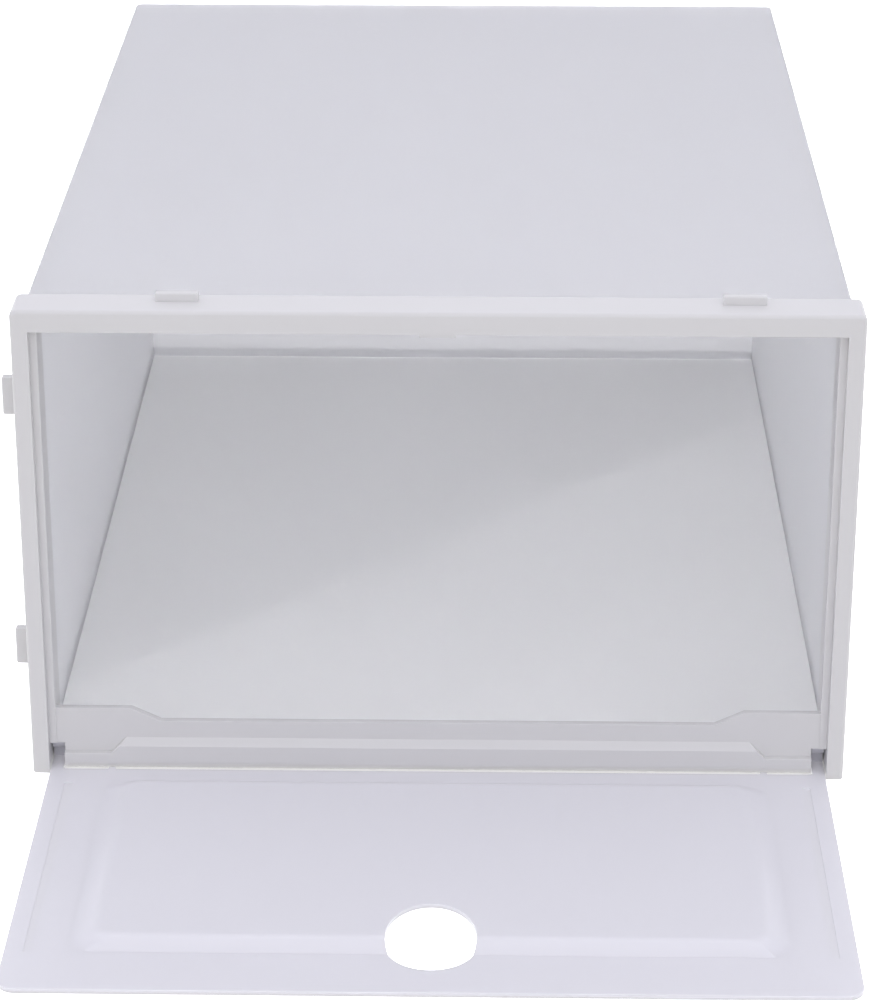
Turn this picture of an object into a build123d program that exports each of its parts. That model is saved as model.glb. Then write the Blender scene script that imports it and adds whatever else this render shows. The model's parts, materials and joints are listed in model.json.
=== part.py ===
"""Flat-pack drop-front shoe box: a front frame, five clipped panels and a hinged door.

Millimetres. The origin is the centre of the box's underside, +Z is up, +X is to the right of
someone facing the door, and +Y runs to the back. The door is modelled open, lying flat in
front of the box. A quarter turn about the hinge axis closes it.
"""
from build123d import *
import os

# Overall sizes of the box, without the open door
box_width = 235.0
box_height = 143.0
box_depth = 332.0

# Front frame
frame_depth = 13.5          # front to back, up to the panels
frame_proud = 2.0           # how far the frame stands out past the side panels
frame_rise = 4.0            # how far it stands above the top panel
frame_corner = 2.0          # radius of the two upper corners
frame_rounding = 1.2        # rounding of the front edge
stile_width = 7.0
stop_width = 2.1            # ledge on each stile that the closed door meets
rail_height = 6.3

# Sill across the bottom of the frame
sill_front = 1.6            # its face, behind the frame's front
sill_foot = 3.0             # radius that its foot turns under the door's edge
sill_low = 8.0              # height of the front ledge
sill_ledge = 1.8            # depth of that ledge
sill_ledge_rise = 2.2       # how far the ledge slopes up to the lip
lip_height = 15.5
lip_thick = 2.0
shoulder_height = 19.5      # the lip's height at its two ends
shoulder_length = 24.1
shoulder_slope = 8.5        # run over which the lip rises
notch_length = 18.0         # dip at each end of the front ledge
notch_slope = 4.5
notch_height = 5.6
bar_height = 6.5            # thick bar behind the lip
bar_gap = 0.7               # from the hinge boss's path to the bar
bar_lap = 2.5               # how far the bar reaches over the bottom panel

# Panels
wall = 2.0
half_lap = 0.9              # thickness of a panel's thinned edge
lap_height = 3.0            # height of the turned edge that covers it
lap_clearance = 0.1
panel_corner = 2.5          # radius of the rear corners
corner_flat = 0.2           # least flat that a side panel's end keeps beside that radius
panel_rounding = 0.8
tongue_width = 12.0
tongue_length = 3.5
tongue_thick = 1.2
tongue_clearance = 0.1
top_tongue_spacing = 90.0
side_tongue_spacing = 22.0
clip_length = 14.0          # clips that hold the back panel to the side panels
clip_depth = 4.0
clip_thick = 1.2
clip_gap = 0.2              # clip to the side panel
lug_length = 10.0
lug_width = 3.0
lug_height = 0.8
lug_spacing = 60.0

# Stacking tabs and the sockets that take a neighbour's tabs
tab_front = 7.9
tab_thick = 2.6
top_tab_width = 12.0
top_tab_height = 2.6
left_tab_margin = 45.5      # frame's left side to the first top tab's middle
right_tab_margin = 33.0
side_tab_width = 11.0
side_tab_height = 4.2
low_tab_margin = 37.1       # frame's underside to the lower side tab's middle
high_tab_margin = 28.3      # frame's top to the upper one's
tab_rounding = 0.5
socket_clearance = 0.2
socket_spare = 0.4

# Door, measured as it lies open
door_thick = 1.2
door_top_gap = 1.2          # under the rail when closed
door_corner = 5.0
door_side_gap = 0.35
door_floor_gap = 0.2
door_edge_setback = 0.3     # hinge edge, behind the frame's front
door_stop_gap = 0.4         # from the closed door's inner face to its stops
panel_raise = 3.0           # height of the raised panel
raise_side_margin = 16.75   # door's side to the raised panel's foot
raise_side_slope = 6.5      # run of its side slopes
raise_front_margin = 18.5   # free edge to the raised panel's foot
raise_back_margin = 8.3     # hinge edge to its foot
raise_slope = 4.0           # run of its front and back slopes
raise_corner = 6.0
raise_inset = 0.4
finger_hole = 24.2          # width, and diameter of the half near the free edge
finger_hole_reach = 16.4    # how far its egg-shaped half runs towards the hinge
finger_hole_margin = 23.1   # free edge to its widest place
groove_inset = 6.2
groove_width = 2.4
groove_depth = 0.3
nub_width = 2.0
nub_reach = 1.2
nub_margin = 17.75

# Hinge
hinge_back = 8.6            # axis, behind the frame's front
hinge_height = 7.4
pin_radius = 2.0
pin_length = 3.2
pin_clearance = 0.08
pin_chamfer = 0.4
boss_radius = 3.0
arm_width = 3.6
arm_tail = 2.4              # how far the arm runs past the axis
arm_gap = 0.4               # room around the swinging arm

# Latch
latch_width = 10.0
latch_drop = 0.9
latch_front = 0.3
latch_thick = 0.9

# How far a cutter, or the root of an added shape, reaches past the face it meets
overrun = 1.0

# Places worked out from the sizes above
front = -box_depth / 2
back = box_depth / 2
half_frame = box_width / 2
half_body = half_frame - frame_proud
half_inner = half_body - wall
half_opening = half_frame - stile_width
half_recess = half_opening + stop_width
body_top = box_height - frame_rise
ceiling = body_top - wall
rail_under = box_height - rail_height
seat = front + frame_depth
bar_back = seat + bar_lap
lap = half_lap + lap_clearance

top_tab_places = (left_tab_margin - half_frame, half_frame - right_tab_margin)
side_tab_places = (low_tab_margin, box_height - high_tab_margin)
top_tongues = (-top_tongue_spacing / 2, top_tongue_spacing / 2)
side_middle = sum(side_tab_places) / 2
side_tongues = (side_middle - side_tongue_spacing / 2, side_middle + side_tongue_spacing / 2)

hinge_y = front + hinge_back
hinge_z = hinge_height
door_top = door_floor_gap + door_thick
closed_outer = hinge_y - (hinge_z - door_floor_gap)
closed_inner = closed_outer + door_thick
stop_y = closed_inner + door_stop_gap
door_edge_y = front + door_edge_setback
free_edge_y = hinge_y + hinge_z - (rail_under - door_top_gap)
half_door = half_recess - door_side_gap
arm_outer = half_door
arm_inner = arm_outer - arm_width
pocket_inner = arm_inner - arm_gap
pocket_outer = half_recess
lip_front = front + sill_front + sill_ledge
lip_back = lip_front + lip_thick
bar_front = hinge_y + boss_radius + bar_gap
pocket_top = hinge_z + 2 * arm_gap
shoulder_end = half_recess - shoulder_length
notch_inner = pocket_inner - notch_length
raise_foot = half_door - raise_side_margin
lug_y = back - wall - clip_depth / 2
clip_places = (body_top / 2 - lug_spacing / 2, body_top / 2 + lug_spacing / 2)


def facing(y):
    """Plane across the box at depth y, with sketch axes X and Z."""
    return Plane(origin=(0, y, 0), x_dir=(1, 0, 0), z_dir=(0, -1, 0))


def block(low, high, mode=Mode.ADD):
    """Box between two corners, for the part being built."""
    with Locations(tuple((a + b) / 2 for a, b in zip(low, high))):
        Box(*(b - a for a, b in zip(low, high)), mode=mode)


def top_tab(x):
    """Upright tab on the frame's top that enters the frame above."""
    with BuildPart(mode=Mode.PRIVATE) as tab:
        block(
            (x - top_tab_width / 2, front + tab_front, box_height - overrun),
            (x + top_tab_width / 2, front + tab_front + tab_thick, box_height + top_tab_height),
        )
        fillet(tab.faces().sort_by(Axis.Z)[-1].edges(), tab_rounding)
    return tab.part


def side_tab(z):
    """Tab on the frame's left side that enters the frame beside it."""
    with BuildPart(mode=Mode.PRIVATE) as tab:
        block(
            (-half_frame - side_tab_height, front + tab_front, z - side_tab_width / 2),
            (-half_frame + overrun, front + tab_front + tab_thick, z + side_tab_width / 2),
        )
        fillet(tab.faces().sort_by(Axis.X)[0].edges(), tab_rounding)
    return tab.part


top_tabs = [top_tab(x) for x in top_tab_places]
side_tabs = [side_tab(z) for z in side_tab_places]

# Front frame: a deep collar with the sill, the hinge pockets, the latch and the stacking tabs
with BuildPart() as front_frame:
    with BuildSketch(facing(front)) as collar:
        with Locations((0, box_height / 2)):
            Rectangle(box_width, box_height)
        fillet(collar.vertices().group_by(Axis.Y)[-1], frame_corner)
    extrude(amount=-frame_depth)
    front_edges = front_frame.faces().sort_by(Axis.Y)[0].edges()
    fillet(front_edges - front_edges.group_by(Axis.Z)[0], frame_rounding)

    # doorway, and the recess that the closed door lies in
    block(
        (-half_opening, front - overrun, -overrun),
        (half_opening, seat + overrun, rail_under),
        Mode.SUBTRACT,
    )
    block(
        (-half_recess, front - overrun, -overrun),
        (half_recess, stop_y, rail_under),
        Mode.SUBTRACT,
    )

    # sill: front ledge, lip and the bar behind it
    with BuildSketch(Plane.YZ) as sill_profile:
        with BuildLine():
            Polyline(
                (front + sill_front, 0),
                (front + sill_front, sill_low),
                (lip_front, sill_low + sill_ledge_rise),
                (lip_front, lip_height),
                (lip_back, lip_height),
                (lip_back, bar_height),
                (bar_front, bar_height),
                (bar_front, 0),
                close=True,
            )
        make_face()
        fillet(sill_profile.vertices().group_by(Axis.Y)[0].sort_by(Axis.X)[0], sill_foot)
    extrude(amount=pocket_inner, both=True)
    block((-half_recess, bar_front, 0), (half_recess, seat, bar_height))
    block((-half_body, seat, wall), (half_body, bar_back, bar_height))

    # the lip rises towards its ends and joins the stiles over the hinge pockets
    for side in (-1, 1):
        with BuildSketch(facing(lip_front)):
            with BuildLine():
                Polyline(
                    (side * (shoulder_end - shoulder_slope), bar_height),
                    (side * (shoulder_end - shoulder_slope), lip_height),
                    (side * shoulder_end, shoulder_height),
                    (side * half_recess, shoulder_height),
                    (side * half_recess, bar_height),
                    close=True,
                )
            make_face()
        extrude(amount=-lip_thick)

    # dips in the front ledge
    for side in (-1, 1):
        with BuildSketch(facing(front + sill_front - overrun)):
            with BuildLine():
                Polyline(
                    (side * notch_inner, lip_height),
                    (side * notch_inner, sill_low + sill_ledge_rise),
                    (side * (notch_inner + notch_slope), notch_height),
                    (side * pocket_inner, notch_height),
                    (side * pocket_inner, lip_height),
                    close=True,
                )
            make_face()
        extrude(amount=-(sill_ledge + overrun), mode=Mode.SUBTRACT)

    # hinge pockets, open below and in front, with a blind hole for each pin
    for side in (-1, 1):
        pocket_x = (pocket_inner + pocket_outer) / 2 * side
        pocket_width = pocket_outer - pocket_inner
        block(
            (pocket_x - pocket_width / 2, front - overrun, -overrun),
            (pocket_x + pocket_width / 2, hinge_y, pocket_top),
            Mode.SUBTRACT,
        )
        block(
            (pocket_x - pocket_width / 2, hinge_y - overrun, -overrun),
            (pocket_x + pocket_width / 2, bar_front, hinge_z),
            Mode.SUBTRACT,
        )
        with BuildSketch(Plane.YZ.offset(pocket_x)):
            with Locations((hinge_y, hinge_z)):
                Circle(boss_radius + arm_gap)
        extrude(amount=pocket_width / 2, both=True, mode=Mode.SUBTRACT)
        with BuildSketch(Plane.YZ.offset(side * (half_recess - overrun))):
            with Locations((hinge_y, hinge_z)):
                Circle(pin_radius + pin_clearance)
        extrude(amount=side * (pin_length + overrun), mode=Mode.SUBTRACT)

    # latch bump under the rail
    block(
        (-latch_width / 2, front + latch_front, rail_under - latch_drop),
        (latch_width / 2, front + latch_front + latch_thick, rail_under + overrun),
    )

    # stacking tabs, and sockets for them underneath and on the right side
    add(top_tabs)
    add(side_tabs)
    for x in top_tab_places:
        block(
            (
                x - top_tab_width / 2 - socket_clearance,
                front + tab_front - socket_clearance,
                -overrun,
            ),
            (
                x + top_tab_width / 2 + socket_clearance,
                front + tab_front + tab_thick + socket_clearance,
                top_tab_height + socket_spare,
            ),
            Mode.SUBTRACT,
        )
    for z in side_tab_places:
        block(
            (
                half_frame - side_tab_height - socket_spare,
                front + tab_front - socket_clearance,
                z - side_tab_width / 2 - socket_clearance,
            ),
            (
                half_frame + overrun,
                front + tab_front + tab_thick + socket_clearance,
                z + side_tab_width / 2 + socket_clearance,
            ),
            Mode.SUBTRACT,
        )

    # slots for the panels' tongues
    slot_y = seat - tongue_length - tongue_clearance
    slot_half = tongue_width / 2 + tongue_clearance
    for x in top_tongues:
        block(
            (x - slot_half, slot_y, body_top - tongue_thick - tongue_clearance),
            (x + slot_half, seat, body_top + tongue_clearance),
            Mode.SUBTRACT,
        )
        block(
            (x - slot_half, slot_y, wall - tongue_thick - tongue_clearance),
            (x + slot_half, seat, wall + tongue_clearance),
            Mode.SUBTRACT,
        )
    for side in (-1, 1):
        tongue_mid = side * (half_body - tongue_thick / 2)
        slot_thick = tongue_thick / 2 + tongue_clearance
        for z in side_tongues:
            block(
                (tongue_mid - slot_thick, slot_y, z - slot_half),
                (tongue_mid + slot_thick, seat, z + slot_half),
                Mode.SUBTRACT,
            )

# Top panel, with its edges turned down over the side and back panels
with BuildPart() as top_panel:
    block((-half_body, seat, ceiling - lap_height), (half_body, back, body_top))
    fillet(top_panel.edges().filter_by(Axis.Z).group_by(Axis.Y)[-1], panel_corner)
    upper_edges = top_panel.faces().sort_by(Axis.Z)[-1].edges()
    fillet(upper_edges - upper_edges.group_by(Axis.Y)[0], panel_rounding)
    block(
        (-half_inner - lap, seat - overrun, ceiling - lap_height - overrun),
        (half_inner + lap, back - wall + lap, ceiling),
        Mode.SUBTRACT,
    )
    for x in top_tongues:
        block(
            (x - tongue_width / 2, seat - tongue_length, body_top - tongue_thick),
            (x + tongue_width / 2, seat, body_top),
        )

# Bottom panel, with its edges turned up
with BuildPart() as bottom_panel:
    block((-half_body, seat, 0), (half_body, back, wall + lap_height))
    fillet(bottom_panel.edges().filter_by(Axis.Z).group_by(Axis.Y)[-1], panel_corner)
    lower_edges = bottom_panel.faces().sort_by(Axis.Z)[0].edges()
    fillet(lower_edges - lower_edges.group_by(Axis.Y)[0], panel_rounding)
    block(
        (-half_inner - lap, seat - overrun, wall),
        (half_inner + lap, back - wall + lap, wall + lap_height + overrun),
        Mode.SUBTRACT,
    )
    # room for the bar of the frame's sill
    block(
        (-half_body - overrun, seat - overrun, wall),
        (half_body + overrun, bar_back, bar_height),
        Mode.SUBTRACT,
    )
    for x in top_tongues:
        block(
            (x - tongue_width / 2, seat - tongue_length, wall - tongue_thick),
            (x + tongue_width / 2, seat, wall),
        )


def side_panel(side):
    """Side wall with thinned edges and recesses for the lugs on the back panel's clips."""
    inner = side * half_inner
    outer = side * half_body
    thin = side * (half_inner + half_lap)
    foot = wall + lap_height
    with BuildPart() as panel:
        block(
            (min(inner, outer), seat, foot),
            (max(inner, outer), back, ceiling - lap_height),
        )
        rear = panel.edges().filter_by(Axis.Z).group_by(Axis.Y)[-1]
        fillet(rear.sort_by(lambda e: abs((e @ 0.5).X))[-1], min(panel_corner, wall - corner_flat))
        block(
            (min(inner, thin), seat, wall),
            (max(inner, thin), back - wall + half_lap, ceiling),
        )
        # the sill's bar takes the lower front corner
        block(
            (min(inner, outer) - overrun, seat - overrun, 0),
            (max(inner, outer) + overrun, bar_back, bar_height),
            Mode.SUBTRACT,
        )
        tongue = side * (half_body - tongue_thick)
        for z in side_tongues:
            block(
                (min(tongue, outer), seat - tongue_length, z - tongue_width / 2),
                (max(tongue, outer), seat, z + tongue_width / 2),
            )
        recess = side * (half_inner - clip_gap + lug_height + 2 * lap_clearance)
        for z in clip_places:
            block(
                (
                    min(inner, recess),
                    lug_y - lug_width / 2 - lap_clearance,
                    z - lug_length / 2 - lap_clearance,
                ),
                (
                    max(inner, recess),
                    lug_y + lug_width / 2 + lap_clearance,
                    z + lug_length / 2 + lap_clearance,
                ),
                Mode.SUBTRACT,
            )
    return panel


left_panel = side_panel(-1)
right_panel = side_panel(1)

# Back panel, with thinned edges and four clips that reach in along the side panels
with BuildPart() as back_panel:
    block(
        (-half_inner, back - wall, wall + lap_height),
        (half_inner, back, ceiling - lap_height),
    )
    block(
        (-half_inner, back - wall, wall),
        (half_inner, back - wall + half_lap, ceiling),
    )
    for side in (-1, 1):
        outer = side * (half_inner - clip_gap)
        inner = outer - side * clip_thick
        for z in clip_places:
            block(
                (min(inner, outer), back - wall - clip_depth, z - clip_length / 2),
                (max(inner, outer), back - wall, z + clip_length / 2),
            )
            block(
                (outer - lug_height, lug_y - lug_width / 2, z - lug_length / 2),
                (outer + lug_height, lug_y + lug_width / 2, z + lug_length / 2),
            )

# Door: a thin plate with a raised panel, a finger hole and two hinge arms with pins
raise_front = free_edge_y + raise_front_margin
raise_back = door_edge_y - raise_back_margin
raise_mid = (raise_front + raise_back) / 2
raise_length = raise_back - raise_front


def raised_panel(height, inset):
    """Blunt pyramid with rounded corners, its foot at the given height."""
    with BuildPart(mode=Mode.PRIVATE) as pyramid:
        with BuildSketch(Plane.XY.offset(height)):
            with Locations((0, raise_mid)):
                RectangleRounded(2 * raise_foot - 2 * inset, raise_length - 2 * inset, raise_corner)
        with BuildSketch(Plane.XY.offset(height + panel_raise)):
            with Locations((0, raise_mid)):
                RectangleRounded(
                    2 * (raise_foot - raise_side_slope - inset),
                    raise_length - 2 * raise_slope - 2 * inset,
                    raise_corner,
                )
        loft()
    return pyramid.part


raised = raised_panel(door_top, 0)
hollow = raised_panel(door_floor_gap, raise_inset)

with BuildPart() as door:
    with BuildSketch(Plane.XY.offset(door_floor_gap)) as plate:
        with Locations((0, (free_edge_y + door_edge_y) / 2)):
            Rectangle(2 * half_door, door_edge_y - free_edge_y)
        fillet(plate.vertices().group_by(Axis.Y)[0], door_corner)
    extrude(amount=door_thick)
    for side in (-1, 1):
        nub_x = side * (half_door - nub_margin)
        block(
            (nub_x - nub_width / 2, door_edge_y, door_floor_gap),
            (nub_x + nub_width / 2, door_edge_y + nub_reach, door_top),
        )
        groove_x = side * (half_door - groove_inset)
        block(
            (groove_x - groove_width / 2, raise_front, door_top - groove_depth),
            (groove_x + groove_width / 2, raise_back, door_top + overrun),
            Mode.SUBTRACT,
        )
    add(raised)
    add(hollow, mode=Mode.SUBTRACT)
    hole_y = free_edge_y + finger_hole_margin
    with BuildSketch(Plane.XY.offset(-overrun)):
        with BuildLine():
            EllipticalCenterArc(
                (0, hole_y), finger_hole / 2, finger_hole_reach, start_angle=0, arc_size=180
            )
            CenterArc((0, hole_y), finger_hole / 2, start_angle=180, arc_size=180)
        make_face()
    extrude(amount=door_top + panel_raise + 2 * overrun, mode=Mode.SUBTRACT)

    # hinge arms: each runs back under the frame and hooks up to the axis
    for side in (-1, 1):
        arm_mid = side * (arm_inner + arm_outer) / 2
        with BuildSketch(Plane.YZ.offset(arm_mid)):
            with BuildLine():
                Polyline(
                    (door_edge_y - raise_back_margin, door_floor_gap),
                    (hinge_y + arm_tail, door_floor_gap),
                    (hinge_y + arm_tail, hinge_z),
                    (hinge_y - arm_gap, hinge_z),
                    (hinge_y - arm_gap, door_top),
                    (door_edge_y - raise_back_margin, door_top),
                    close=True,
                )
            make_face()
            with Locations((hinge_y, hinge_z)):
                Circle(boss_radius)
        extrude(amount=arm_width / 2, both=True)
        with BuildSketch(Plane.YZ.offset(side * (arm_outer - overrun))):
            with Locations((hinge_y, hinge_z)):
                Circle(pin_radius)
        extrude(amount=side * (pin_length + overrun))
        pin_end = door.faces().sort_by(Axis.X)[-1 if side > 0 else 0]
        chamfer(pin_end.edges(), pin_chamfer)

pieces = {
    "front_frame": front_frame,
    "top_panel": top_panel,
    "bottom_panel": bottom_panel,
    "left_panel": left_panel,
    "right_panel": right_panel,
    "back_panel": back_panel,
    "door": door,
}

os.makedirs("parts", exist_ok=True)
for name, piece in pieces.items():
    piece.part.label = name
    export_step(piece.part, f"parts/{name}.step")
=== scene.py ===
"""Looks of a flat-pack drop-front shoe box: its front frame, five panels and hinged door.

The file is laid out as a Blender add-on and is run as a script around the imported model.
"""
import json
import math
from contextlib import contextmanager

import bmesh
import bpy
from bpy.props import FloatProperty, FloatVectorProperty, PointerProperty, StringProperty
from bpy.types import Operator, Panel, PropertyGroup
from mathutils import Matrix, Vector


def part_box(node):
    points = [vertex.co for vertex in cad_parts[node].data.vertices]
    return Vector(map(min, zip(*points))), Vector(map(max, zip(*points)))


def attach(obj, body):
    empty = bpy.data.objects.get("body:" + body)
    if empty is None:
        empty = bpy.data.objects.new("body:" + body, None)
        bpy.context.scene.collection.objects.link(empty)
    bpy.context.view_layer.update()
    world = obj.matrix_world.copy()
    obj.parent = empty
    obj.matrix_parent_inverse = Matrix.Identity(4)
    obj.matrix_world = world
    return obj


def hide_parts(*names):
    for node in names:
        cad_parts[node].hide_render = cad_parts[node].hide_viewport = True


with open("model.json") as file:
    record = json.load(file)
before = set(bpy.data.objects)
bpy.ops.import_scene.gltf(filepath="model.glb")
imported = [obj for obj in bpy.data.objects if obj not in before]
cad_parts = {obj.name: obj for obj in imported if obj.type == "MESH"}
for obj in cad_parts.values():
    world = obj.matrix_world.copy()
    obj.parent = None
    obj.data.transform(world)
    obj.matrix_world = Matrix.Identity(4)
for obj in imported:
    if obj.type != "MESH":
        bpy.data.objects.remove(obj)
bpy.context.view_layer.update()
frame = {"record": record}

bl_info = {
    "name": "Drop-front shoe box",
    "version": (1, 0, 0),
    "blender": (4, 5, 0),
    "location": "3D View > Sidebar > Shoe box",
    "description": "Models a flat-pack shoe box of white polypropylene, with a hinged door",
    "category": "Object",
}

MM = 0.001
FRAME_LOW, FRAME_HIGH = (Vector(corner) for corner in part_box("front_frame"))
TOP_HIGH = Vector(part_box("top_panel")[1])
DOOR_LOW, DOOR_HIGH = (Vector(corner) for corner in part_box("door"))
HINGE = Vector(frame["record"]["behaviour"]["joints"][0]["pos_m"])
PAST = 2 * MM               # how far a cutter reaches past the faces that it opens
ROOT = 1 * MM               # how far an added shape reaches into the piece it joins
SAME_PLACE = 0.01 * MM      # places nearer than this count as one
MERGE = 0.002 * MM          # points nearer than this become one
FLAT = math.radians(0.4)    # faces that turn less than this are one face
SHARP = math.radians(32)    # edges that turn more than this are rounded
SMOOTH = math.radians(35)   # edges that turn less than this are shaded smooth
SOFTBOX_TINT = (0.93, 0.94, 1.0)


# ---------------------------------------------------------------------------------------
# Sizes and finishes that a user would change
# ---------------------------------------------------------------------------------------

def length(name, description, millimetres):
    """A size in the scene's units, given here in millimetres."""
    return FloatProperty(
        name=name, description=description, default=millimetres * MM, min=0.0, unit="LENGTH",
        precision=5,
    )


def colour(name, description, hex_code):
    """A colour, given as an sRGB hex code."""
    return StringProperty(name=name, description=description, default=hex_code)


class FrameSizes(PropertyGroup):
    """Sizes of the front frame."""

    depth: length("Depth", "Front to back, up to the panels", 13.5)
    corner: length("Corner", "Radius of the two upper corners", 2.0)
    rounding: length("Rounding", "Rounding of the front edge", 1.2)
    stile: length("Stile", "Width of each upright", 7.0)
    stop: length("Stop", "Width of the ledge that the closed door meets", 2.1)
    rail: length("Rail", "Height of the rail over the doorway", 6.3)
    stop_gap: length("Stop gap", "Closed door to the ledges it meets", 0.4)
    softness: length("Softness", "Rounding of every other edge", 0.35)


class SillSizes(PropertyGroup):
    """Sizes of the sill across the bottom of the frame."""

    setback: length("Setback", "Frame's front to the sill's face", 1.6)
    foot: length("Foot", "Radius that the sill's foot turns under the door's edge", 3.0)
    low: length("Ledge height", "Height of the front ledge", 8.0)
    ledge: length("Ledge depth", "Depth of the front ledge", 1.8)
    ledge_rise: length("Ledge rise", "How far the ledge slopes up to the lip", 2.2)
    lip: length("Lip height", "Height of the lip behind the ledge", 15.5)
    lip_thick: length("Lip thickness", "Thickness of the lip", 2.0)
    shoulder: length("Shoulder height", "Height of the lip at its ends", 19.5)
    shoulder_length: length("Shoulder length", "Length of each raised end", 24.1)
    shoulder_slope: length("Shoulder slope", "Run over which the lip rises", 8.5)
    notch: length("Notch height", "Height of the ledge in its dips", 5.6)
    notch_length: length("Notch length", "Length of each dip", 18.0)
    notch_slope: length("Notch slope", "Run over which the ledge falls", 4.5)
    bar: length("Bar height", "Height of the bar behind the lip", 6.5)
    bar_gap: length("Bar gap", "Hinge boss's path to the bar", 0.7)


class TabSizes(PropertyGroup):
    """Sizes of the stacking tabs and their sockets."""

    front: length("Front", "Frame's front to the tabs", 7.9)
    thick: length("Thickness", "Thickness of each tab", 2.6)
    top_width: length("Top width", "Width of each top tab", 12.0)
    top_height: length("Top height", "Height of each top tab", 2.6)
    left_margin: length("Left margin", "Frame's left side to the first top tab", 45.5)
    right_margin: length("Right margin", "Frame's right side to the second top tab", 33.0)
    side_width: length("Side width", "Width of each side tab", 11.0)
    low_margin: length("Low margin", "Underside to the lower side tab", 37.1)
    high_margin: length("High margin", "Frame's top to the upper side tab", 28.3)
    rounding: length("Rounding", "Rounding of a tab's end", 0.5)
    clearance: length("Clearance", "Room around a tab in its socket", 0.2)
    spare: length("Spare", "Room past a tab's end in its socket", 0.4)


class PanelSizes(PropertyGroup):
    """Sizes of the top, bottom, side and back panels."""

    wall: length("Wall", "Thickness of every panel", 2.0)
    half_lap: length("Half lap", "Thickness of a thinned edge", 0.9)
    lap_height: length("Lap height", "Height of the turned edges", 3.0)
    lap_gap: length("Lap gap", "Room between lapped edges", 0.1)
    corner: length("Corner", "Radius of the rear corners", 2.5)
    corner_flat: length("Corner flat", "Flat left beside a side panel's rear corner", 0.2)
    rounding: length("Rounding", "Rounding of the long outer edges", 0.8)
    clip_length: length("Clip length", "Length of each clip on the back panel", 14.0)
    clip_depth: length("Clip depth", "How far the clips reach into the box", 4.0)
    clip_thick: length("Clip thickness", "Thickness of each clip", 1.2)
    clip_gap: length("Clip gap", "Clip to the side panel", 0.2)
    clip_spacing: length("Clip spacing", "Distance between the two clips on a side", 60.0)
    softness: length("Softness", "Rounding of every other edge", 0.1)


class DoorSizes(PropertyGroup):
    """Sizes of the door, as it lies open."""

    thick: length("Thickness", "Thickness of the door", 1.2)
    side_gap: length("Side gap", "Door's side to the recess it closes into", 0.35)
    edge_setback: length("Hinge edge", "Frame's front to the door's hinge edge", 0.3)
    corner: length("Corner", "Radius of the two free corners", 5.0)
    panel_raise: length("Raise", "Height of the raised panel", 3.0)
    side_margin: length("Side margin", "Door's side to the raised panel's foot", 16.75)
    side_slope: length("Side slope", "Run of the raised panel's side slopes", 6.5)
    front_margin: length("Front margin", "Free edge to the raised panel's foot", 18.5)
    back_margin: length("Back margin", "Hinge edge to the raised panel's foot", 8.3)
    slope: length("Slope", "Run of the front and back slopes", 4.0)
    raise_corner: length("Raised corner", "Radius of the raised panel's corners", 6.0)
    raise_edge: length("Raised edge", "Rounding of the raised panel's edge", 1.4)
    inset: length("Inset", "How far the hollow lies inside the raised panel", 0.4)
    hole_width: length("Hole width", "Width of the finger hole", 24.2)
    hole_reach: length("Hole reach", "Length of its egg-shaped half", 16.4)
    hole_margin: length("Hole margin", "Free edge to the hole's widest place", 23.1)
    groove_inset: length("Groove inset", "Door's side to each groove", 6.2)
    groove_width: length("Groove width", "Width of each groove", 2.4)
    groove_depth: length("Groove depth", "Depth of each groove", 0.3)
    nub_width: length("Nub width", "Width of each nub on the hinge edge", 2.0)
    nub_reach: length("Nub reach", "How far a nub stands out", 1.2)
    nub_margin: length("Nub margin", "Door's side to each nub", 17.75)
    softness: length("Softness", "Rounding of every other edge", 0.3)


class HingeSizes(PropertyGroup):
    """Sizes of the hinge arms, bosses and pins."""

    pin_radius: length("Pin radius", "Radius of each pin", 2.0)
    pin_gap: length("Pin gap", "Room around each pin in its hole", 0.08)
    pin_chamfer: length("Pin chamfer", "Chamfer on each pin's end", 0.4)
    boss_radius: length("Boss radius", "Radius of the boss around the axis", 3.0)
    arm_width: length("Arm width", "Width of each hinge arm", 3.6)
    arm_tail: length("Arm tail", "How far an arm runs past the axis", 2.4)
    arm_gap: length("Arm gap", "Room around a swinging arm", 0.4)
    pin_length: length("Pin length", "Length of each pin past its arm", 3.2)


class LatchSizes(PropertyGroup):
    """Sizes of the latch bump under the rail."""

    width: length("Width", "Width of the bump", 10.0)
    drop: length("Drop", "How far it hangs below the rail", 0.9)
    front: length("Front", "Frame's front to the bump", 0.3)
    thick: length("Thickness", "Front to back", 0.9)


class Finishes(PropertyGroup):
    """Colours and gloss of the plastic."""

    frame: colour("Frame", "Colour of the front frame", "#D7D6D5")
    panels: colour("Panels", "Colour of the panels", "#FAFAFC")
    door: colour("Door", "Colour of the door", "#D5D4DB")
    frame_roughness: FloatProperty(
        name="Frame roughness", description="Gloss of the front frame", default=0.36,
        min=0.0, max=1.0, subtype="FACTOR",
    )
    panel_roughness: FloatProperty(
        name="Panel roughness", description="Gloss of the frosted panels", default=0.52,
        min=0.0, max=1.0, subtype="FACTOR",
    )
    door_roughness: FloatProperty(
        name="Door roughness", description="Gloss of the door", default=0.3,
        min=0.0, max=1.0, subtype="FACTOR",
    )


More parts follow.
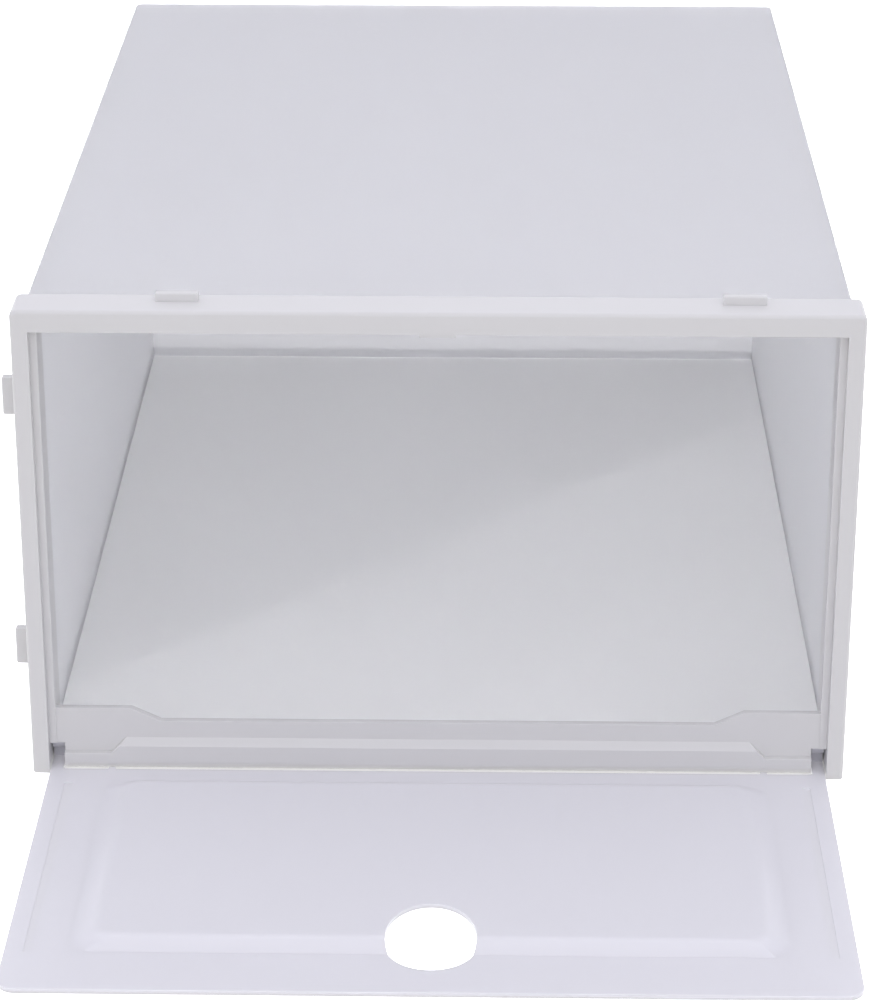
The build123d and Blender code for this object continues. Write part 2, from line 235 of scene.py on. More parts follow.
class StageSettings(PropertyGroup):
    """Floor, lights and camera."""

    floor: colour("Floor", "Colour of the floor", "#FFFFFF")
    glow: FloatProperty(
        name="Floor glow", description="Strength of the floor's own light", default=1.2, min=0.0,
    )
    # Painted shade: the camera sees the floor's glow dimmed to grey in gaps about this wide.
    gap: length("Floor gap", "Gaps about this wide show the floor as grey", 4.0)
    sky_colour: colour("Sky colour", "Colour of the light from above", "#F6F6FF")
    ground_colour: colour("Ground colour", "Colour of the light from below", "#FFFDFC")
    sky: FloatProperty(
        name="Sky", description="Strength of the even light from above", default=1.07, min=0.0,
    )
    ground: FloatProperty(
        name="Ground", description="Strength of the even light from below", default=0.58, min=0.0,
    )
    overhead: FloatProperty(
        name="Overhead", description="Power of the overhead softbox", default=1.5, min=0.0,
        unit="POWER",
    )
    fill: FloatProperty(
        name="Fill", description="Power of the softbox in front", default=7.0, min=0.0,
        unit="POWER",
    )
    camera_place: FloatVectorProperty(
        name="Camera place", description="Where the camera stands, from the frame's foot",
        default=(0.0149, -0.8564, 0.4627), subtype="TRANSLATION", unit="LENGTH",
    )
    camera_tilt: FloatProperty(
        name="Camera tilt", description="How far the camera looks down",
        default=math.radians(23.66), subtype="ANGLE", unit="ROTATION",
    )
    camera_turn: FloatProperty(
        name="Camera turn", description="How far the camera is turned to the left",
        default=math.radians(1.03), subtype="ANGLE", unit="ROTATION",
    )
    lens: FloatProperty(
        name="Lens", description="Focal length on a 36 mm sensor, in millimetres", default=120.4,
        min=1.0,
    )


class ShoeBox(PropertyGroup):
    """Everything that a user would change."""

    frame: PointerProperty(type=FrameSizes)
    sill: PointerProperty(type=SillSizes)
    tabs: PointerProperty(type=TabSizes)
    panels: PointerProperty(type=PanelSizes)
    door: PointerProperty(type=DoorSizes)
    hinge: PointerProperty(type=HingeSizes)
    latch: PointerProperty(type=LatchSizes)
    finishes: PointerProperty(type=Finishes)
    stage: PointerProperty(type=StageSettings)


# ---------------------------------------------------------------------------------------
# Modelling by hand, in code
# ---------------------------------------------------------------------------------------

def activate(piece):
    """Selects one object and nothing else."""
    bpy.ops.object.select_all(action="DESELECT")
    piece.select_set(True)
    bpy.context.view_layer.objects.active = piece


@contextmanager
def editing(piece, kind="VERT"):
    """Edit mode with nothing selected. Gives the mesh being edited."""
    activate(piece)
    bpy.ops.object.mode_set(mode="EDIT")
    bpy.ops.mesh.select_mode(type=kind)
    bpy.ops.mesh.select_all(action="DESELECT")
    mesh = bmesh.from_edit_mesh(piece.data)
    yield mesh
    bpy.ops.object.mode_set(mode="OBJECT")


def pick(piece, elements, test):
    """Selects the vertices, edges or faces whose corners and middle all pass a test."""
    for element in elements:
        points = [element.co] if hasattr(element, "co") else [v.co for v in element.verts]
        middle = sum(points, Vector()) / len(points)
        if all(test(point) for point in (*points, middle)):
            element.select_set(True)
    bmesh.update_edit_mesh(piece.data)


def near(value, target):
    """Whether two places along an axis are the same."""
    return abs(value - target) < SAME_PLACE


def settle(piece, name):
    """Names a new object and moves its place into its mesh."""
    piece.name = name
    piece.data.name = name
    bpy.ops.object.transform_apply(location=True, rotation=True, scale=True)
    return piece


def add_block(name, low, high):
    """Block between two corners."""
    bpy.ops.object.select_all(action="DESELECT")
    low, high = Vector(low), Vector(high)
    bpy.ops.mesh.primitive_cube_add(size=1.0, location=(low + high) / 2, scale=high - low)
    return settle(bpy.context.object, name)


def add_rod(name, radius, start_x, end_x, centre, sides=48):
    """Round rod along X around a centre (y, z)."""
    bpy.ops.object.select_all(action="DESELECT")
    bpy.ops.mesh.primitive_cylinder_add(
        vertices=sides, radius=radius, depth=abs(end_x - start_x),
        location=((start_x + end_x) / 2, *centre), rotation=(0, math.pi / 2, 0),
    )
    return settle(bpy.context.object, name)


def add_prism(name, outline, place, reach):
    """Flat outline set in place by a function of its two coordinates, then extruded."""
    bpy.ops.object.select_all(action="DESELECT")
    bpy.ops.mesh.primitive_circle_add(vertices=len(outline), radius=10 * MM, fill_type="NGON")
    prism = settle(bpy.context.object, name)
    for vertex, point in zip(prism.data.vertices, outline):
        vertex.co = place(*point)
    with editing(prism):
        bpy.ops.mesh.select_all(action="SELECT")
        bpy.ops.mesh.extrude_region_move(TRANSFORM_OT_translate={"value": reach})
        bpy.ops.mesh.select_all(action="SELECT")
        bpy.ops.mesh.normals_make_consistent(inside=False)
    return prism


def prism_along_x(name, outline, start, end):
    """Prism whose outline is drawn in y and z."""
    return add_prism(name, outline, lambda y, z: (start, y, z), (end - start, 0, 0))


def prism_along_y(name, outline, start, end):
    """Prism whose outline is drawn in x and z."""
    return add_prism(name, outline, lambda x, z: (x, start, z), (0, end - start, 0))


def prism_along_z(name, outline, start, end):
    """Prism whose outline is drawn in x and y."""
    return add_prism(name, outline, lambda x, y: (x, y, start), (0, 0, end - start))


def apply_modifier(piece, kind, **settings):
    """Adds a modifier and applies it."""
    activate(piece)
    modifier = piece.modifiers.new(kind.title(), kind)
    for key, value in settings.items():
        setattr(modifier, key, value)
    bpy.ops.object.modifier_apply(modifier=modifier.name)


def combine(piece, other, operation):
    """Boolean of two closed shapes. The second one is used up."""
    apply_modifier(piece, "BOOLEAN", object=other, operation=operation, solver="EXACT")
    bpy.data.objects.remove(other)


def join_on(piece, *others):
    """Adds shapes to a piece."""
    for other in others:
        combine(piece, other, "UNION")


def carve(piece, *cutters):
    """Takes shapes away from a piece."""
    for cutter in cutters:
        combine(piece, cutter, "DIFFERENCE")


def round_edges(piece, radius, segments, test):
    """Rounds the edges whose ends and middle pass a test."""
    with editing(piece, "EDGE") as mesh:
        pick(piece, mesh.edges, test)
        bpy.ops.mesh.bevel(offset=radius, segments=segments, affect="EDGES", clamp_overlap=False)


def clean(piece):
    """Merges doubled points and clears the seams that booleans leave on flat faces."""
    with editing(piece):
        bpy.ops.mesh.select_all(action="SELECT")
        bpy.ops.mesh.remove_doubles(threshold=MERGE)
        bpy.ops.mesh.dissolve_limited(angle_limit=FLAT)


def soften(piece, width):
    """Small moulded roundings on every sharp edge, and even shading."""
    clean(piece)
    apply_modifier(
        piece, "BEVEL", width=width, segments=2, limit_method="ANGLE",
        angle_limit=SHARP, use_clamp_overlap=True, miter_outer="MITER_ARC",
    )
    with editing(piece):
        bpy.ops.mesh.select_all(action="SELECT")
        bpy.ops.mesh.remove_doubles(threshold=MERGE)
        bpy.ops.mesh.normals_make_consistent(inside=False)
    activate(piece)
    bpy.ops.object.shade_smooth_by_angle(angle=SMOOTH)
    apply_modifier(piece, "WEIGHTED_NORMAL", keep_sharp=True, weight=80)


def finish_piece(piece, body, node, material):
    """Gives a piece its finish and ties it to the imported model."""
    piece.data.materials.clear()
    piece.data.materials.append(material)
    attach(piece, body)
    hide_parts(node)


# ---------------------------------------------------------------------------------------
# Materials
# ---------------------------------------------------------------------------------------

def linear(hex_code):
    """Linear colour of an sRGB hex code."""
    channels = [int(hex_code[i:i + 2], 16) / 255 for i in (1, 3, 5)]
    return tuple(
        c / 12.92 if c <= 0.04045 else ((c + 0.055) / 1.055) ** 2.4 for c in channels
    ) + (1.0,)


def add_node(tree, kind, inputs=None, **settings):
    """Adds a node with its settings. An input is a value, or a socket to link."""
    node = tree.nodes.new(kind)
    for key, value in settings.items():
        setattr(node, key, value)
    for key, value in (inputs or {}).items():
        if isinstance(value, bpy.types.NodeSocket):
            tree.links.new(value, node.inputs[key])
        else:
            node.inputs[key].default_value = value
    return node


def polypropylene(name, hex_code, roughness, grain, grain_depth, scatter, clear):
    """Moulded white polypropylene: milky, so that light soaks through it, with a fine grain.

    The scatter is how far light travels inside the plastic before it comes out again. The
    clear share goes straight through, blurred, and fills the box with soft light. The grain
    is a spark-eroded mould texture of that size. Slow clouding over some 60 mm is where the
    melt cooled unevenly, and gives the eye broad, faint changes of tone.
    """
    if name in bpy.data.materials:
        return bpy.data.materials[name]
    darkest, gloss_spread = 0.985, 0.03
    material = bpy.data.materials.new(name)
    material.use_nodes = True
    tree = material.node_tree
    tree.nodes.clear()
    place = add_node(tree, "ShaderNodeTexCoord").outputs["Object"]
    clouds = add_node(tree, "ShaderNodeTexNoise", {
        "Vector": place, "Scale": 1 / (60 * MM), "Detail": 3.0, "Roughness": 0.55,
    })
    base = linear(hex_code)
    tone = add_node(tree, "ShaderNodeMix", {
        "Factor": clouds.outputs["Fac"],
        "A": tuple(darkest * c for c in base[:3]) + (1.0,),
        "B": base,
    }, data_type="RGBA")
    speckle = add_node(tree, "ShaderNodeTexNoise", {
        "Vector": place, "Scale": 1 / grain, "Detail": 2.0, "Roughness": 0.6,
    })
    gloss = add_node(tree, "ShaderNodeMapRange", {
        "Value": clouds.outputs["Fac"],
        "To Min": roughness - gloss_spread, "To Max": roughness + gloss_spread,
    })
    bump = add_node(tree, "ShaderNodeBump", {
        "Height": speckle.outputs["Fac"], "Strength": 0.35, "Distance": grain_depth,
    })
    shader = add_node(tree, "ShaderNodeBsdfPrincipled", {
        "Base Color": tone.outputs["Result"],
        "Roughness": gloss.outputs["Result"],
        "Normal": bump.outputs["Normal"],
        "IOR": 1.49,
        "Subsurface Weight": 1.0,
        "Subsurface Radius": (1.0, 1.0, 1.0),
        "Subsurface Scale": scatter,
        "Transmission Weight": clear,
    })
    add_node(tree, "ShaderNodeOutputMaterial", {"Surface": shader.outputs["BSDF"]})
    return material


def frame_plastic():
    """Satin white polypropylene, moulded thick: the eye sees a clean, nearly solid white."""
    finishes = bpy.context.scene.shoe_box.finishes
    return polypropylene(
        "satin_white_polypropylene", finishes.frame, finishes.frame_roughness,
        grain=0.9 * MM, grain_depth=0.01 * MM, scatter=0.3 * MM, clear=0.0,
    )


def panel_plastic():
    """Frosted white polypropylene sheet: it glows a little where light falls behind it."""
    finishes = bpy.context.scene.shoe_box.finishes
    return polypropylene(
        "frosted_polypropylene_sheet", finishes.panels, finishes.panel_roughness,
        grain=0.7 * MM, grain_depth=0.03 * MM, scatter=8 * MM, clear=0.5,
    )


def back_plastic():
    """The same sheet where its turned edges double it: it lets less light through."""
    finishes = bpy.context.scene.shoe_box.finishes
    return polypropylene(
        "frosted_polypropylene_back", finishes.panels, finishes.panel_roughness,
        grain=0.7 * MM, grain_depth=0.03 * MM, scatter=8 * MM, clear=0.08,
    )


def door_plastic():
    """Milky polypropylene, moulded thin and smooth: soft sheen with blurred inner shadows."""
    finishes = bpy.context.scene.shoe_box.finishes
    return polypropylene(
        "milky_polypropylene", finishes.door, finishes.door_roughness,
        grain=1.1 * MM, grain_depth=0.01 * MM, scatter=5 * MM, clear=0.0,
    )


# ---------------------------------------------------------------------------------------
# Places shared by several pieces
# ---------------------------------------------------------------------------------------

class Layout:
    """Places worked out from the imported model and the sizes."""

    def __init__(self, box):
        frame_sizes, panels, tabs = box.frame, box.panels, box.tabs
        self.front, self.bar_back = FRAME_LOW.y, FRAME_HIGH.y
        self.half_frame = FRAME_HIGH.x
        self.height = FRAME_HIGH.z - tabs.top_height
        self.half_opening = self.half_frame - frame_sizes.stile
        self.half_recess = self.half_opening + frame_sizes.stop
        self.rail_under = self.height - frame_sizes.rail
        self.seat = self.front + frame_sizes.depth
        self.half_body, self.body_top, self.back = TOP_HIGH.x, TOP_HIGH.z, TOP_HIGH.y
        self.half_inner = self.half_body - panels.wall
        self.ceiling = self.body_top - panels.wall
        self.lap = panels.half_lap + panels.lap_gap
        self.bar_front = HINGE.y + box.hinge.boss_radius + box.sill.bar_gap
        self.door_under = DOOR_LOW.z
        self.door_top = DOOR_LOW.z + box.door.thick
        self.stop_y = HINGE.y - (HINGE.z - self.door_top) + frame_sizes.stop_gap
        self.half_door = self.half_recess - box.door.side_gap
        self.free_edge = DOOR_LOW.y
        self.hinge_edge = self.front + box.door.edge_setback
        self.pocket_inner = self.half_door - box.hinge.arm_width - box.hinge.arm_gap
        self.top_tabs = (tabs.left_margin - self.half_frame, self.half_frame - tabs.right_margin)
        self.side_tabs = (tabs.low_margin, self.height - tabs.high_margin)


# ---------------------------------------------------------------------------------------
# Pieces
# ---------------------------------------------------------------------------------------

def make_collar(box, at):
    """Deep collar with rounded outer edges, opened for the doorway and the closed door."""
    sizes = box.frame
    collar = add_block(
        "front_frame_shell", (-at.half_frame, at.front, 0), (at.half_frame, at.seat, at.height)
    )
    round_edges(
        collar, sizes.corner, 8,
        lambda p: near(abs(p.x), at.half_frame) and near(p.z, at.height),
    )
    round_edges(
        collar, sizes.rounding, 6,
        lambda p: near(p.y, at.front) and (not near(p.z, 0) or near(abs(p.x), at.half_frame)),
    )
    carve(
        collar,
        add_block(
            "doorway", (-at.half_opening, at.front - PAST, -PAST),
            (at.half_opening, at.seat + PAST, at.rail_under),
        ),
        add_block(
            "door_recess", (-at.half_recess, at.front - PAST, -PAST),
            (at.half_recess, at.stop_y, at.rail_under),
        ),
    )
    return collar


def make_sill(box, at):
    """Sill with its front ledge, its lip with raised ends, and the bar behind it."""
    sill, wall = box.sill, box.panels.wall
    face = at.front + sill.setback
    lip_front = face + sill.ledge
    lip_back = lip_front + sill.lip_thick
    ledge_top = sill.low + sill.ledge_rise
    piece = prism_along_x("sill", [
        (face, 0),
        (face, sill.low),
        (lip_front, ledge_top),
        (lip_front, sill.lip),
        (lip_back, sill.lip),
        (lip_back, sill.bar),
        (at.bar_front, sill.bar),
        (at.bar_front, 0),
    ], -at.pocket_inner, at.pocket_inner)
    round_edges(piece, sill.foot, 8, lambda p: near(p.y, face) and near(p.z, 0))
    join_on(
        piece,
        prism_along_x("bar", [
            (at.bar_front, 0),
            (at.bar_front, sill.bar),
            (at.bar_back, sill.bar),
            (at.bar_back, wall),
            (at.seat, wall),
            (at.seat, 0),
        ], -at.half_recess, at.half_recess),
    )
    shoulder_inner = at.half_recess - sill.shoulder_length
    notch_inner = at.pocket_inner - sill.notch_length
    for side in (-1, 1):
        join_on(piece, prism_along_y("shoulder", [
            (side * (shoulder_inner - sill.shoulder_slope), sill.bar),
            (side * (shoulder_inner - sill.shoulder_slope), sill.lip),
            (side * shoulder_inner, sill.shoulder),
            (side * at.half_recess, sill.shoulder),
            (side * at.half_recess, sill.bar),
        ], lip_front, lip_back))
        carve(piece, prism_along_y("notch", [
            (side * notch_inner, sill.lip),
            (side * notch_inner, ledge_top),
            (side * (notch_inner + sill.notch_slope), sill.notch),
            (side * at.pocket_inner, sill.notch),
            (side * at.pocket_inner, sill.lip),
        ], face - PAST, lip_front))
    return piece


def carve_hinge_pockets(piece, box, at):
    """Pockets that the door's arms swing in, with a blind hole for each pin."""
    hinge = box.hinge
    centre = (HINGE.y, HINGE.z)
    for side in (-1, 1):
        left, right = sorted((side * at.pocket_inner, side * at.half_recess))
        pin_end = side * (at.half_recess + hinge.pin_length)
        carve(
            piece,
            add_block(
                "front_pocket", (left, at.front - PAST, -PAST),
                (right, HINGE.y, HINGE.z + 2 * hinge.arm_gap),
            ),
            add_block("rear_pocket", (left, HINGE.y - ROOT, -PAST), (right, at.bar_front, HINGE.z)),
            add_rod("boss_pocket", hinge.boss_radius + hinge.arm_gap, left, right, centre),
            add_rod(
                "pin_hole", hinge.pin_radius + hinge.pin_gap,
                side * (at.half_recess - ROOT), pin_end, centre,
            ),
        )


def add_stacking_tabs(piece, box, at):
    """Tabs on top and on the left, and sockets for a neighbour's tabs opposite them."""
    tabs = box.tabs
    front = at.front + tabs.front
    back = front + tabs.thick
    side_height = -FRAME_LOW.x - at.half_frame
    top_half, side_half = tabs.top_width / 2, tabs.side_width / 2
    for x in at.top_tabs:
        tab = add_block(
            "top_tab", (x - top_half, front, at.height - ROOT), (x + top_half, back, FRAME_HIGH.z)
        )
        round_edges(tab, tabs.rounding, 3, lambda p: near(p.z, FRAME_HIGH.z))
        join_on(piece, tab)
        carve(piece, add_block(
            "bottom_socket",
            (x - top_half - tabs.clearance, front - tabs.clearance, -PAST),
            (x + top_half + tabs.clearance, back + tabs.clearance, tabs.top_height + tabs.spare),
        ))
    for z in at.side_tabs:
        tab = add_block(
            "side_tab", (FRAME_LOW.x, front, z - side_half),
            (-at.half_frame + ROOT, back, z + side_half),
        )
        round_edges(tab, tabs.rounding, 3, lambda p: near(p.x, FRAME_LOW.x))
        join_on(piece, tab)
        carve(piece, add_block(
            "side_socket",
            (at.half_frame - side_height - tabs.spare, front - tabs.clearance,
             z - side_half - tabs.clearance),
            (at.half_frame + PAST, back + tabs.clearance, z + side_half + tabs.clearance),
        ))


class SHOEBOX_OT_front_frame(Operator):
    """Model the front frame with its sill, hinge pockets, latch bump, tabs and sockets"""

    bl_idname = "shoebox.front_frame"
    bl_label = "Front frame"

    def execute(self, context):
        box = context.scene.shoe_box
        at = Layout(box)
        latch = box.latch
        piece = make_collar(box, at)
        join_on(piece, make_sill(box, at))
        carve_hinge_pockets(piece, box, at)
        bump = add_block(
            "latch_bump",
            (-latch.width / 2, at.front + latch.front, at.rail_under - latch.drop),
            (latch.width / 2, at.front + latch.front + latch.thick, at.rail_under + ROOT),
        )
        join_on(piece, bump)
        add_stacking_tabs(piece, box, at)
        soften(piece, box.frame.softness)
        finish_piece(piece, "box", "front_frame", frame_plastic())
        return {"FINISHED"}


def make_tray_panel(name, box, at, bottom):
    """Top or bottom panel: a sheet with its edges turned over the side and back panels."""
    sizes = box.panels
    turned = sizes.wall + sizes.lap_height
    low_z, high_z = (0, turned) if bottom else (at.body_top - turned, at.body_top)
    outer_z, inner_z = (0, sizes.wall) if bottom else (at.body_top, at.ceiling)
    panel = add_block(name, (-at.half_body, at.seat, low_z), (at.half_body, at.back, high_z))
    round_edges(
        panel, sizes.corner, 8,
        lambda p: near(abs(p.x), at.half_body) and near(p.y, at.back),
    )
    round_edges(
        panel, sizes.rounding, 4,
        lambda p: near(p.z, outer_z) and (not near(p.y, at.seat) or near(abs(p.x), at.half_body)),
    )
    reach = at.half_inner + at.lap
    rear = at.back - sizes.wall + at.lap
    edge_z = turned + PAST if bottom else at.body_top - turned - PAST
    carve(panel, add_block(
        "tray", (-reach, at.seat - PAST, min(inner_z, edge_z)), (reach, rear, max(inner_z, edge_z))
    ))
    if bottom:
        carve(panel, add_block(
            "bar_room", (-at.half_body - PAST, at.seat - PAST, sizes.wall),
            (at.half_body + PAST, at.bar_back, turned + PAST),
        ))
    soften(panel, sizes.softness)
    return panel


class SHOEBOX_OT_top_panel(Operator):
    """Model the top panel with its turned edges"""

    bl_idname = "shoebox.top_panel"
    bl_label = "Top panel"

    def execute(self, context):
        box = context.scene.shoe_box
        panel = make_tray_panel("top_panel_shell", box, Layout(box), bottom=False)
        finish_piece(panel, "box", "top_panel", panel_plastic())
        return {"FINISHED"}


class SHOEBOX_OT_bottom_panel(Operator):
    """Model the bottom panel with its turned edges"""

    bl_idname = "shoebox.bottom_panel"
    bl_label = "Bottom panel"

    def execute(self, context):
        box = context.scene.shoe_box
        panel = make_tray_panel("bottom_panel_shell", box, Layout(box), bottom=True)
        finish_piece(panel, "box", "bottom_panel", panel_plastic())
        return {"FINISHED"}


class SHOEBOX_OT_side_panels(Operator):
    """Model the left and right panels with their thinned edges"""

    bl_idname = "shoebox.side_panels"
    bl_label = "Side panels"

    def execute(self, context):
        box = context.scene.shoe_box
        at = Layout(box)
        sizes = box.panels
        foot = sizes.wall + sizes.lap_height
        for side, node in ((-1, "left_panel"), (1, "right_panel")):
            inner, outer = sorted((side * at.half_inner, side * at.half_body))
            low, high = sorted((side * at.half_inner, side * (at.half_inner + sizes.half_lap)))
            panel = add_block(
                f"{node}_sheet", (inner, at.seat, foot),
                (outer, at.back, at.ceiling - sizes.lap_height),
            )
            round_edges(
                panel, sizes.wall - sizes.corner_flat, 6,
                lambda p: near(abs(p.x), at.half_body) and near(p.y, at.back),
            )
            join_on(panel, add_block(
                "thinned_edge", (low, at.seat, sizes.wall),
                (high, at.back - sizes.wall + sizes.half_lap, at.ceiling),
            ))
            carve(panel, add_block(
                "bar_room", (inner - PAST, at.seat - PAST, -PAST),
                (outer + PAST, at.bar_back, box.sill.bar),
            ))
            soften(panel, sizes.softness)
            finish_piece(panel, "box", node, panel_plastic())
        return {"FINISHED"}


class SHOEBOX_OT_back_panel(Operator):
    """Model the back panel, with thinned edges and the clips along the side panels"""

    bl_idname = "shoebox.back_panel"
    bl_label = "Back panel"

    def execute(self, context):
        box = context.scene.shoe_box
        at = Layout(box)
        sizes = box.panels
        wall_front = at.back - sizes.wall
        panel = add_block(
            "back_panel_sheet", (-at.half_inner, wall_front, sizes.wall + sizes.lap_height),
            (at.half_inner, at.back, at.ceiling - sizes.lap_height),
        )
        join_on(panel, add_block(
            "thinned_edge", (-at.half_inner, wall_front, sizes.wall),
            (at.half_inner, wall_front + sizes.half_lap, at.ceiling),
        ))
        outer = at.half_inner - sizes.clip_gap
        for side in (-1, 1):
            left, right = sorted((side * outer, side * (outer - sizes.clip_thick)))
            for way in (-1, 1):
                middle = (at.body_top + way * sizes.clip_spacing) / 2
                join_on(panel, add_block(
                    "clip", (left, wall_front - sizes.clip_depth, middle - sizes.clip_length / 2),
                    (right, wall_front + ROOT, middle + sizes.clip_length / 2),
                ))
        soften(panel, sizes.softness)
        finish_piece(panel, "box", "back_panel", back_plastic())
        return {"FINISHED"}


def add_pyramid(name, box, at, height, inset):
    """Blunt pyramid with rounded corners, its foot at the given height."""
    door = box.door
    half = at.half_door - door.side_margin - inset
    front = at.free_edge + door.front_margin + inset
    back = at.hinge_edge - door.back_margin - inset
    top = height + door.panel_raise
    pyramid = add_block(name, (-half, front, height), (half, back, top))
    round_edges(
        pyramid, door.raise_corner, 8,
        lambda p: near(abs(p.x), half) and (near(p.y, front) or near(p.y, back)),
    )
    middle = Vector((0, (front + back) / 2, top))
    with editing(pyramid) as mesh:
        pick(pyramid, mesh.verts, lambda p: near(p.z, top))
        bpy.ops.transform.resize(
            value=(1 - door.side_slope / half, 1 - 2 * door.slope / (back - front), 1),
            center_override=middle,
        )
    return pyramid


def finger_hole_outline(door, at):
    """Egg: a half circle near the free edge and half an ellipse towards the hinge."""
    steps = 64
    middle = at.free_edge + door.hole_margin
    outline = []
    for step in range(steps):
        angle = 2 * math.pi * step / steps
        reach = door.hole_reach if angle < math.pi else door.hole_width / 2
        outline.append((door.hole_width / 2 * math.cos(angle), middle + reach * math.sin(angle)))
    return outline


def add_hinge_arms(piece, box, at):
    """Arms that run back under the frame and hook up to the axis, with bosses and pins."""
    hinge = box.hinge
    centre = (HINGE.y, HINGE.z)
    for side in (-1, 1):
        outer = side * at.half_door
        inner = side * (at.half_door - hinge.arm_width)
        arm = prism_along_x("hinge_arm", [
            (at.hinge_edge - box.door.back_margin, at.door_under),
            (HINGE.y + hinge.arm_tail, at.door_under),
            (HINGE.y + hinge.arm_tail, HINGE.z),
            (HINGE.y - hinge.arm_gap, HINGE.z),
            (HINGE.y - hinge.arm_gap, at.door_top),
            (at.hinge_edge - box.door.back_margin, at.door_top),
        ], inner, outer)
        pin_tip = side * DOOR_HIGH.x
        pin = add_rod("pin", hinge.pin_radius, outer - side * ROOT, pin_tip, centre)
        round_edges(pin, hinge.pin_chamfer, 1, lambda p: near(p.x, pin_tip))
        join_on(arm, add_rod("boss", hinge.boss_radius, inner, outer, centre), pin)
        join_on(piece, arm)


class SHOEBOX_OT_door(Operator):
    """Model the door with its raised panel, finger hole, grooves and hinge arms"""

    bl_idname = "shoebox.door"
    bl_label = "Door"

    def execute(self, context):
        box = context.scene.shoe_box
        at = Layout(box)
        door = box.door
        top = at.door_top + door.panel_raise
        piece = add_block(
            "door_panel", (-at.half_door, at.free_edge, at.door_under),
            (at.half_door, at.hinge_edge, at.door_top),
        )
        round_edges(
            piece, door.corner, 10,
            lambda p: near(abs(p.x), at.half_door) and near(p.y, at.free_edge),
        )
        raised = add_pyramid("raised_panel", box, at, at.door_top, 0)
        round_edges(raised, door.raise_edge, 4, lambda p: near(p.z, top))
        join_on(piece, raised)
        carve(piece, add_pyramid("hollow", box, at, at.door_under, door.inset))
        carve(piece, prism_along_z(
            "finger_hole", finger_hole_outline(door, at), at.door_under - PAST, top + PAST
        ))
        for side in (-1, 1):
            nub = side * (at.half_door - door.nub_margin)
            groove = side * (at.half_door - door.groove_inset)
            join_on(piece, add_block(
                "nub", (nub - door.nub_width / 2, at.hinge_edge - ROOT, at.door_under),
                (nub + door.nub_width / 2, at.hinge_edge + door.nub_reach, at.door_top),
            ))
            carve(piece, add_block(
                "groove",
                (groove - door.groove_width / 2, at.free_edge + door.front_margin,
                 at.door_top - door.groove_depth),
                (groove + door.groove_width / 2, at.hinge_edge - door.back_margin,
                 at.door_top + PAST),
            ))
        add_hinge_arms(piece, box, at)
        soften(piece, door.softness)
        finish_piece(piece, "door", "door", door_plastic())
        return {"FINISHED"}


# ---------------------------------------------------------------------------------------
# Stage
# ---------------------------------------------------------------------------------------

def floor_material(stage):
    """Matt white studio floor, lit evenly, with painted shade: to the camera its glow dims to grey
    in gaps a few millimetres wide.
    """
    beside_an_edge = 0.62       # openness at which the painted shade ends and the floor shows at full strength
    material = bpy.data.materials.new("studio_floor")
    material.use_nodes = True
    tree = material.node_tree
    tree.nodes.clear()
    # Painted shade: ambient occlusion dims the floor's glow in narrow gaps, such as under the
    # sill's foot, where a shadow falls.
    openness = add_node(tree, "ShaderNodeAmbientOcclusion", {"Distance": stage.gap}, samples=8)
    glow_with_painted_shade = add_node(tree, "ShaderNodeMapRange", {
        "Value": openness.outputs["AO"], "From Max": beside_an_edge, "To Max": stage.glow,
    })
    # Only camera rays see the painted shade; other rays see the floor's full glow.
    directly = add_node(tree, "ShaderNodeLightPath").outputs["Is Camera Ray"]
    strength = add_node(tree, "ShaderNodeMix", {
        "Factor": directly, "A": stage.glow, "B": glow_with_painted_shade.outputs["Result"],
    })
    shader = add_node(tree, "ShaderNodeBsdfPrincipled", {
        "Base Color": linear(stage.floor), "Roughness": 0.9, "Specular IOR Level": 0.0,
        "Emission Color": (1.0, 1.0, 1.0, 1.0), "Emission Strength": strength.outputs["Result"],
    })
    add_node(tree, "ShaderNodeOutputMaterial", {"Surface": shader.outputs["BSDF"]})
    return material


def studio_sky(stage):
    """Even light that is stronger and cooler from above than from below."""
    band = 0.25                 # half the height of the band where the two mix
    world = bpy.data.worlds.new("studio_sky")
    world.use_nodes = True
    tree = world.node_tree
    tree.nodes.clear()
    way = add_node(tree, "ShaderNodeTexCoord").outputs["Generated"]
    upward = add_node(tree, "ShaderNodeSeparateXYZ", {"Vector": way}).outputs["Z"]
    share = add_node(tree, "ShaderNodeMapRange", {
        "Value": upward, "From Min": -band, "From Max": band,
    }).outputs["Result"]
    light = add_node(tree, "ShaderNodeMix", {
        "Factor": share, "A": linear(stage.ground_colour), "B": linear(stage.sky_colour),
    }, data_type="RGBA")
    strength = add_node(tree, "ShaderNodeMapRange", {
        "Value": share, "To Min": stage.ground, "To Max": stage.sky,
    })
    sky = add_node(tree, "ShaderNodeBackground", {
        "Color": light.outputs["Result"], "Strength": strength.outputs["Result"],
    })
    add_node(tree, "ShaderNodeOutputWorld", {"Surface": sky.outputs["Background"]})
    return world


def add_softbox(name, place, tilt, power):
    """Large soft light, turned up from pointing straight down by a tilt."""
    bpy.ops.object.light_add(type="AREA", location=place, rotation=(tilt, 0, 0))
    softbox = bpy.context.object
    softbox.name = name
    softbox.data.shape = "RECTANGLE"
    softbox.data.size = 1.6
    softbox.data.size_y = 1.2
    softbox.data.energy = power
    softbox.data.color = SOFTBOX_TINT


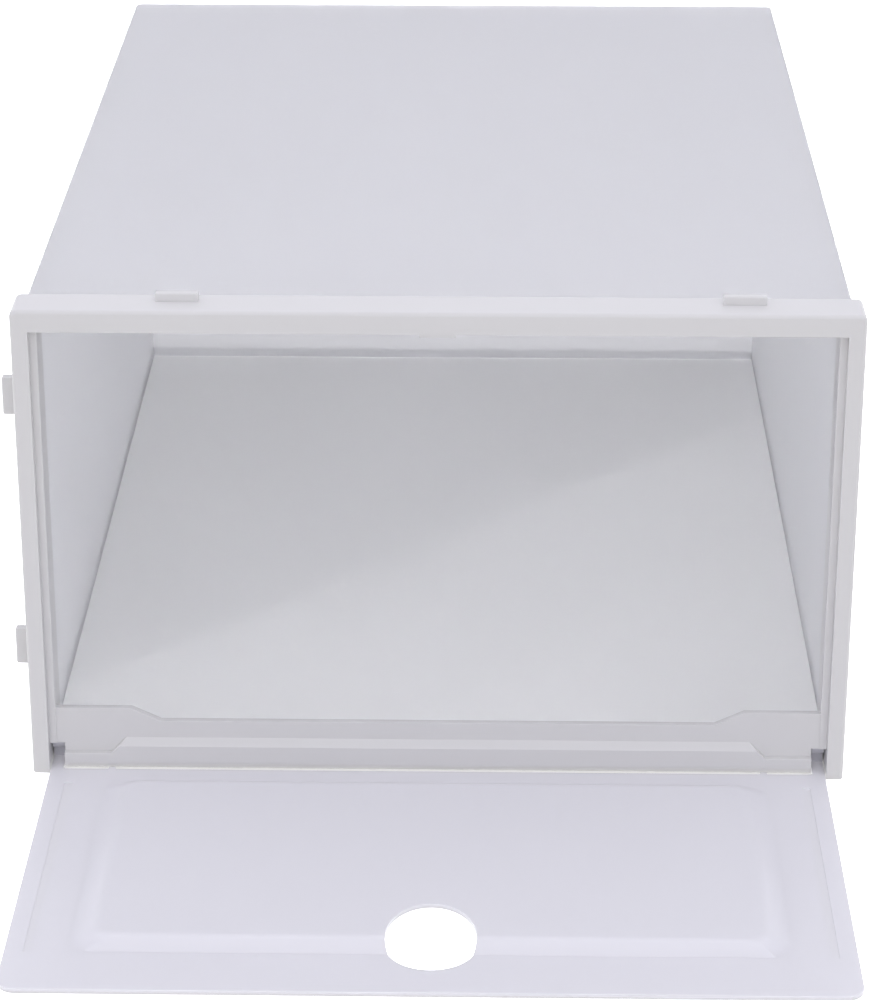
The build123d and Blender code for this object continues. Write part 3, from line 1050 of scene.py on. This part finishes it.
class SHOEBOX_OT_stage(Operator):
    """Set up the pale floor, the soft studio light and the camera"""

    bl_idname = "shoebox.stage"
    bl_label = "Stage"

    def execute(self, context):
        stage = context.scene.shoe_box.stage
        bpy.ops.object.select_all(action="DESELECT")
        bpy.ops.mesh.primitive_plane_add(size=8.0, location=(0, 0, -0.05 * MM))
        floor = settle(context.object, "studio_floor")
        floor.data.materials.append(floor_material(stage))
        floor.visible_diffuse = False
        context.scene.world = studio_sky(stage)

        add_softbox("overhead_softbox", (0, -0.1, 1.6), 0, stage.overhead)
        add_softbox("front_softbox", (0, -2.1, 0.8), math.radians(70), stage.fill)

        foot = Vector((0, FRAME_LOW.y, 0))
        bpy.ops.object.camera_add(
            location=foot + Vector(stage.camera_place),
            rotation=(math.pi / 2 - stage.camera_tilt, 0, stage.camera_turn),
        )
        camera = context.object
        camera.data.sensor_width = 36.0
        camera.data.lens = stage.lens
        camera.data.clip_start = 0.01
        context.scene.camera = camera
        context.scene.view_settings.view_transform = "Standard"
        return {"FINISHED"}


# ---------------------------------------------------------------------------------------
# Panel and registration
# ---------------------------------------------------------------------------------------

STEPS = (
    SHOEBOX_OT_stage,
    SHOEBOX_OT_front_frame,
    SHOEBOX_OT_top_panel,
    SHOEBOX_OT_bottom_panel,
    SHOEBOX_OT_side_panels,
    SHOEBOX_OT_back_panel,
    SHOEBOX_OT_door,
)


class SHOEBOX_PT_sidebar(Panel):
    """Buttons that model each piece, and the sizes they use"""

    bl_idname = "SHOEBOX_PT_sidebar"
    bl_label = "Shoe box"
    bl_space_type = "VIEW_3D"
    bl_region_type = "UI"
    bl_category = "Shoe box"

    def draw(self, context):
        box = context.scene.shoe_box
        for step in STEPS:
            self.layout.operator(step.bl_idname)
        for group in (box.frame, box.sill, box.tabs, box.panels, box.door, box.hinge, box.latch,
                      box.finishes, box.stage):
            column = self.layout.box().column(align=True)
            for key in group.__annotations__:
                column.prop(group, key)


GROUPS = (
    FrameSizes, SillSizes, TabSizes, PanelSizes, DoorSizes, HingeSizes, LatchSizes, Finishes,
    StageSettings, ShoeBox,
)
CLASSES = GROUPS + STEPS + (SHOEBOX_PT_sidebar,)


def register():
    """Makes the classes and the scene's settings known."""
    for item in CLASSES:
        bpy.utils.register_class(item)
    bpy.types.Scene.shoe_box = PointerProperty(type=ShoeBox)


def unregister():
    """Takes them away again."""
    del bpy.types.Scene.shoe_box
    for item in reversed(CLASSES):
        bpy.utils.unregister_class(item)


def main():
    """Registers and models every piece."""
    register()
    for step in STEPS:
        category, name = step.bl_idname.split(".")
        getattr(getattr(bpy.ops, category), name)()


if __name__ == "__main__":
    main()
